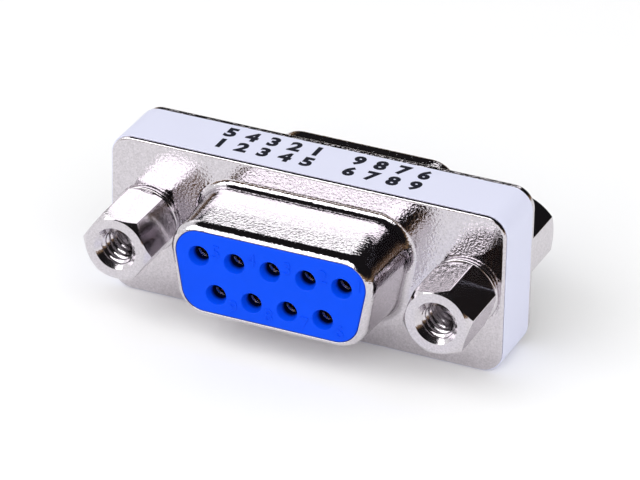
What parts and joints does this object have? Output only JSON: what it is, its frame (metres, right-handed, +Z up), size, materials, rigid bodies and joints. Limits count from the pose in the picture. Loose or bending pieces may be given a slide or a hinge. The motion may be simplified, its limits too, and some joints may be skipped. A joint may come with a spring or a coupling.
{
  "type": "d-sub gender changer",
  "caption": "Slim connector gender changer: D-shaped socket shrouds back to back on a flat body, with hexagonal jack posts at both sides of each face.",
  "frame": {"origin": "under the middle of the body, on the surface that its long side rests on", "axes": "+X along the body, +Y from the front face to the rear face, +Z up towards the wide side of the front shroud"},
  "size_m": [0.031, 0.0178, 0.0126],
  "materials": {
    "shell_nickel": "bright nickel plate on drawn steel, faintly grained",
    "wrap_film": "satin pale film",
    "insulator_blue": "moulded, slightly glossy",
    "retainer_nylon": "moulded nylon",
    "board_green": "glass-fibre board",
    "sleeve_steel": "turned steel",
    "post_nickel": "bright nickel plate on turned hexagon bar",
    "contact_gold": "gold flash"
  },
  "bodies": {
    "root": {"front_shell": "shell_nickel", "rear_shell": "shell_nickel", "wrap_band": "wrap_film", "front_insulator": "insulator_blue", "rear_insulator": "insulator_blue", "front_retainer": "retainer_nylon", "rear_retainer": "retainer_nylon", "circuit_board": "board_green", "left_screw_sleeve": "sleeve_steel", "right_screw_sleeve": "sleeve_steel", "front_left_jack_post": "post_nickel", "front_right_jack_post": "post_nickel", "rear_left_jack_post": "post_nickel", "rear_right_jack_post": "post_nickel", "front_contact_1": "contact_gold", "front_contact_2": "contact_gold", "front_contact_3": "contact_gold", "front_contact_4": "contact_gold", "front_contact_5": "contact_gold", "front_contact_6": "contact_gold", "front_contact_7": "contact_gold", "front_contact_8": "contact_gold", "front_contact_9": "contact_gold", "rear_contact_1": "contact_gold", "rear_contact_2": "contact_gold", "rear_contact_3": "contact_gold", "rear_contact_4": "contact_gold", "rear_contact_5": "contact_gold", "rear_contact_6": "contact_gold", "rear_contact_7": "contact_gold", "rear_contact_8": "contact_gold", "rear_contact_9": "contact_gold"}
  },
  "joints": []
}
